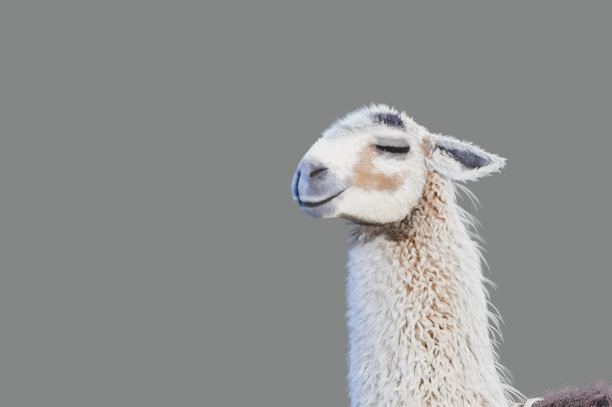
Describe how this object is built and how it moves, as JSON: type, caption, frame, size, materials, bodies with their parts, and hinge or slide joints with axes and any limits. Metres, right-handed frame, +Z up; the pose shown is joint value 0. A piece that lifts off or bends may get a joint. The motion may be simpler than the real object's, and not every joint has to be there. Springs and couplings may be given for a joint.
{
  "type": "llama",
  "caption": "Life-size standing llama, still model: pale short-haired head with laid-back ears, cream woolly neck, brown fleeced body, two-toed feet.",
  "frame": {"origin": "on the floor under the middle of the whole animal", "axes": "+Z up; the llama faces -X; its left side is -Y"},
  "size_m": [1.4446, 0.5378, 1.6893],
  "materials": {
    "face_coat": "short dense hair, white with tan patches and a grey muzzle",
    "ear_coat": "short grey and white hair, darker inside",
    "eye": "wet and dark",
    "neck_wool": "crimped cream wool with tan roots",
    "body_wool": "dense crinkled reddish brown fleece",
    "leg_coat": "short off-white hair",
    "nail": "dark horn"
  },
  "bodies": {
    "root": {"head": "face_coat", "jaw": "face_coat", "ear_left": "ear_coat", "ear_right": "ear_coat", "eye_left": "eye", "eye_right": "eye", "neck": "neck_wool", "chest": "neck_wool", "barrel": "body_wool", "rump": "body_wool", "tail": "body_wool", "fore_left_upper_leg": "leg_coat", "fore_left_shank": "leg_coat", "fore_left_foot": "leg_coat", "fore_left_nail_left": "nail", "fore_left_nail_right": "nail", "fore_right_upper_leg": "leg_coat", "fore_right_shank": "leg_coat", "fore_right_foot": "leg_coat", "fore_right_nail_left": "nail", "fore_right_nail_right": "nail", "hind_left_upper_leg": "leg_coat", "hind_left_shank": "leg_coat", "hind_left_foot": "leg_coat", "hind_left_nail_left": "nail", "hind_left_nail_right": "nail", "hind_right_upper_leg": "leg_coat", "hind_right_shank": "leg_coat", "hind_right_foot": "leg_coat", "hind_right_nail_left": "nail", "hind_right_nail_right": "nail"}
  },
  "joints": []
}
